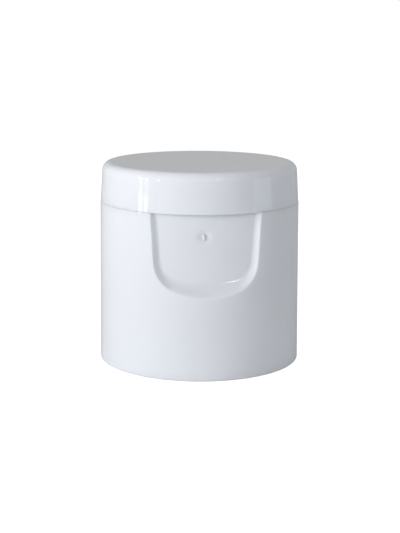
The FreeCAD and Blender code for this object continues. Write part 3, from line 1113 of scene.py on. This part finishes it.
@dataclass(frozen=True)
class MouldedPolypropylene:
    """Polypropylene pigmented white and moulded against polished steel.

    The eye sees a clear gloss that shows windows as soft patches with slightly wavy edges, very faint
    upright polishing strokes left by the tool, and a shade that is not quite even because light enters the
    plastic a little before it comes back.
    """

    name: str
    colour: str = "#EAEDF3"
    deep_colour: str = "#E5E9F0"
    roughness: float = 0.08
    stroke_mm: float = 0.35
    flow_mm: float = 9.0
    ripple_mm: float = 2.6
    ripple_depth_mm: float = 0.004
    translucency: float = 0.4
    scatter_mm: float = 1.5
    refraction: float = 1.49

    def material(self) -> bpy.types.Material:
        """Build the material.

        Returns:
            A node material for the moulded plastic.
        """
        made = bpy.data.materials.new(self.name)
        made.use_nodes = True
        tree = made.node_tree
        shader = tree.nodes["Principled BSDF"]
        place = add_node(tree, "ShaderNodeTexCoord").outputs["Object"]
        flow, strokes, ripple = (
            add_node(tree, "ShaderNodeTexNoise", {"Scale": 1 / (size * MM), "Detail": detail},
                     {"Vector": place})
            for size, detail in ((self.flow_mm, 2.0), (self.stroke_mm, 3.0), (self.ripple_mm, 1.0))
        )
        stretch = add_node(tree, "ShaderNodeMapping", {"Scale": (1, 1, 0.02)}, {"Vector": place})
        tree.links.new(stretch.outputs["Vector"], strokes.inputs["Vector"])
        shade = add_node(tree, "ShaderNodeMix", {
            "data_type": "RGBA", "A": linear(self.deep_colour), "B": linear(self.colour),
        }, {"Factor": flow.outputs["Fac"]})
        gloss = add_node(tree, "ShaderNodeMapRange", {
            "From Min": 0.3, "From Max": 0.7,
            "To Min": self.roughness - 0.02, "To Max": self.roughness + 0.03,
        }, {"Value": strokes.outputs["Fac"]})
        bump = add_node(tree, "ShaderNodeBump", {"Strength": 0.5, "Distance": 2 * self.ripple_depth_mm * MM},
                        {"Height": ripple.outputs["Fac"]})
        tree.links.new(shade.outputs["Result"], shader.inputs["Base Color"])
        tree.links.new(gloss.outputs["Result"], shader.inputs["Roughness"])
        tree.links.new(bump.outputs["Normal"], shader.inputs["Normal"])
        shader.inputs["IOR"].default_value = self.refraction
        shader.inputs["Subsurface Weight"].default_value = self.translucency
        shader.inputs["Subsurface Radius"].default_value = (1.0, 0.95, 0.9)
        shader.inputs["Subsurface Scale"].default_value = self.scatter_mm * MM
        return made


# ---------------------------------------------------------------- studio


def away_from(heading: float, rise: float) -> Vector:
    """Unit vector outwards, by degrees about the axis from +X and degrees above the horizon."""
    turn, lift = math.radians(heading), math.radians(rise)
    return Vector((math.cos(turn) * math.cos(lift), math.sin(turn) * math.cos(lift), math.sin(lift)))


def unlike_camera(tree: bpy.types.NodeTree, other: bpy.types.Node, seen: bpy.types.Node) -> bpy.types.Node:
    """Shader that is one thing to the camera and another to all other rays.

    Args:
        tree: node tree that gets the nodes.
        other: shader for all other rays.
        seen: shader for the camera's own rays.

    Returns:
        The node that mixes the two.
    """
    path = add_node(tree, "ShaderNodeLightPath")
    return add_node(tree, "ShaderNodeMixShader", {},
                    {0: path.outputs["Is Camera Ray"], 1: other.outputs[0], 2: seen.outputs[0]})


@dataclass(frozen=True)
class Lamp:
    """Rectangular lamp, aimed at the middle of the cap.

    Heading is in degrees about the axis from +X, rise in degrees above the horizon, size is width and
    height in millimetres and power is in watts. A lamp that is not mirrored lights the cap but does not
    show in its gloss.
    """

    name: str
    heading: float
    rise: float
    size: tuple[float, float]
    power: float
    colour: str = "#FFFFFF"
    mirrored: bool = True


@dataclass
class Studio:
    """Plain pale floor, soft window-like lamps, grey room and the camera."""

    cap_middle: float = 15.3
    floor_radius: float = 260.0
    floor_hole: float = 14.3
    floor_height: float = -0.01
    camera_heading: float = -94.1
    camera_rise: float = 11.486
    camera_distance: float = 203.38
    lens: float = 85.18
    aim_right: float = 0.126
    aim_down: float = 0.763
    roll: float = 0.28
    room_strength: float = 0.45
    floor_glow: float = 0.8
    lamp_distance: float = 900.0

    def world(self) -> None:
        """White to the camera and a plain grey room to everything else."""
        world = bpy.data.worlds.new("studio_room")
        world.use_nodes = True
        tree = world.node_tree
        tree.nodes.clear()
        seen, lit = (
            add_node(tree, "ShaderNodeBackground", {"Color": (1, 1, 1, 1), "Strength": strength})
            for strength in (1.0, self.room_strength)
        )
        mix = unlike_camera(tree, lit, seen)
        add_node(tree, "ShaderNodeOutputWorld", {}, {"Surface": mix.outputs[0]})
        bpy.context.scene.world = world

    def floor(self) -> None:
        """Round painted floor with a hole inside the foot, so that the hollow base is lit from below.

        It shows white to the camera from above but keeps the cap's shadow, and is clear from below.
        """
        rings = np.linspace(self.floor_hole, self.floor_radius, 5)[:, None]
        turn = np.linspace(0, 2 * math.pi, 96, endpoint=False)
        grid = turned(rings, self.floor_height, turn[None])
        plane = make_piece("floor", [grid], [grid_faces(*grid.shape[:2])[:, ::-1]])
        made = bpy.data.materials.new("painted_board_white")
        made.use_nodes = True
        tree = made.node_tree
        tree.nodes.clear()
        paint = add_node(tree, "ShaderNodeBsdfDiffuse", {"Color": linear("#E6E6E6")})
        glow = add_node(tree, "ShaderNodeEmission", {"Color": (1, 1, 1, 1), "Strength": self.floor_glow})
        both = add_node(tree, "ShaderNodeAddShader", {}, {0: paint.outputs[0], 1: glow.outputs[0]})
        mix = unlike_camera(tree, paint, both)
        side = add_node(tree, "ShaderNodeNewGeometry")
        clear = add_node(tree, "ShaderNodeBsdfTransparent")
        cut = add_node(tree, "ShaderNodeMixShader", {},
                       {0: side.outputs["Backfacing"], 1: mix.outputs[0], 2: clear.outputs[0]})
        add_node(tree, "ShaderNodeOutputMaterial", {}, {"Surface": cut.outputs[0]})
        plane.data.materials.append(made)

    def lamp(self, lamp: Lamp) -> None:
        """Add one lamp.

        Args:
            lamp: what it is and where it stands.
        """
        data = bpy.data.lights.new(lamp.name, "AREA")
        data.shape = "RECTANGLE"
        data.size, data.size_y = lamp.size[0] * MM, lamp.size[1] * MM
        data.energy = lamp.power
        data.color = linear(lamp.colour)[:3]
        made = placed(lamp.name, data)
        made.visible_glossy = lamp.mirrored
        away = away_from(lamp.heading, lamp.rise)
        made.location = away * self.lamp_distance * MM + Vector((0, 0, self.cap_middle * MM))
        made.rotation_mode = "QUATERNION"
        made.rotation_quaternion = away.to_track_quat("Z", "Y")

    def lamps(self) -> None:
        """Broad soft light from the left, a tall window of six panes and three more patches."""
        self.lamp(Lamp("soft_key", -144.0, 8.0, (500, 500), 4.95, mirrored=False))
        for column, heading in enumerate((-164.5, -157.5)):
            for row, rise in enumerate((-5.0, 2.0, 9.0)):
                self.lamp(Lamp(f"tall_window_pane_{column}{row}", heading, rise, (66, 84), 0.17))
        self.lamp(Lamp("narrow_window", -142.0, 8.0, (30, 110), 0.16))
        self.lamp(Lamp("small_window", -72.0, 22.0, (70, 40), 0.3))
        self.lamp(Lamp("pale_window", -17.0, 2.0, (420, 300), 0.45, "#E0ECFF"))

    def camera(self) -> None:
        """Camera above the lid, a few degrees left of the recess and turned a little about its view."""
        data = bpy.data.cameras.new("camera")
        data.lens = self.lens
        data.sensor_width = 36.0
        data.clip_start = 0.01
        camera = placed("camera", data)
        middle = Vector((0, 0, self.cap_middle * MM))
        place = middle + away_from(self.camera_heading, self.camera_rise) * self.camera_distance * MM
        turn = math.radians(self.camera_heading)
        right = Vector((-math.sin(turn), math.cos(turn), 0))
        aim = middle + right * self.aim_right * MM - Vector((0, 0, self.aim_down * MM))
        camera.location = place
        camera.rotation_mode = "QUATERNION"
        level = (place - aim).to_track_quat("Z", "Y")
        camera.rotation_quaternion = level @ Matrix.Rotation(math.radians(self.roll), 4, "Z").to_quaternion()
        bpy.context.scene.camera = camera

    def build(self) -> None:
        """Put the room, the floor, the lamps and the camera in place."""
        self.world()
        self.floor()
        self.lamps()
        self.camera()


# ---------------------------------------------------------------- the cap


def dress(piece: bpy.types.Object, material: bpy.types.Material, body: Body,
          nodes: Sequence[str] = ()) -> None:
    """Give a rigid piece its material, body and slot, and hide the solids that it stands for.

    Args:
        piece: the piece.
        material: its finish.
        body: the moulding that it moves with.
        nodes: solids that it replaces.
    """
    piece.data.materials.append(material)
    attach(piece, body.value)
    if nodes:
        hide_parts(*nodes)
    LOG.info("%s: %d faces on %s", piece.name, len(piece.data.polygons), body.value)


def dress_hinge(piece: bpy.types.Object, material: bpy.types.Material, node: str) -> None:
    """Give a hinge piece its material and slot, bake its placement into its mesh, and hide the solid that it
    stands for.

    Args:
        piece: the piece.
        material: its finish.
        node: solid that it replaces.
    """
    piece.data.materials.append(material)
    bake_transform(piece)
    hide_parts(node)
    LOG.info("%s: %d faces between base and lid", piece.name, len(piece.data.polygons))


def main() -> None:
    """Build the cap and its studio."""
    logging.basicConfig(level=logging.INFO)
    bpy.context.scene.view_settings.view_transform = "Standard"
    base_low, base_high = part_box("base")
    lid_low, lid_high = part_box("lid")
    seam = lid_low.z / MM
    axis_y = frame["joints"][0]["pos_m"][1] / MM
    foot_radius = (base_high.x - base_low.x) / 2 / MM
    hinge = Hinge(seam=seam, axis_y=axis_y)
    recess = ThumbRecess(seam=seam)
    base = Base(recess=recess, hinge=hinge, foot_radius=foot_radius, seam=seam)
    lid = Lid(hinge=hinge, seam_radius=base.recess_radius() - LID_INSET, seam=seam,
              height=lid_high.z / MM - seam)
    white = MouldedPolypropylene("polypropylene_moulded_white").material()
    thin = MouldedPolypropylene("polypropylene_thin_hinge_white", colour="#F0F2F5", roughness=0.2,
                                translucency=0.6).material()
    dress(base.shell(), white, Body.BASE, ["base"])
    for piece in (base.ribs(), recess.gate_nub(), NeckThread().ridge()):
        dress(piece, white, Body.BASE)
    dress(lid.shell(), white, Body.LID, ["lid"])
    for side in Side:
        dress_hinge(hinge.film(side), thin, f"hinge_film_{side.name.lower()}")
    dress_hinge(hinge.strap(), thin, "hinge_strap")
    Studio().build()


if __name__ == "__main__":
    main()
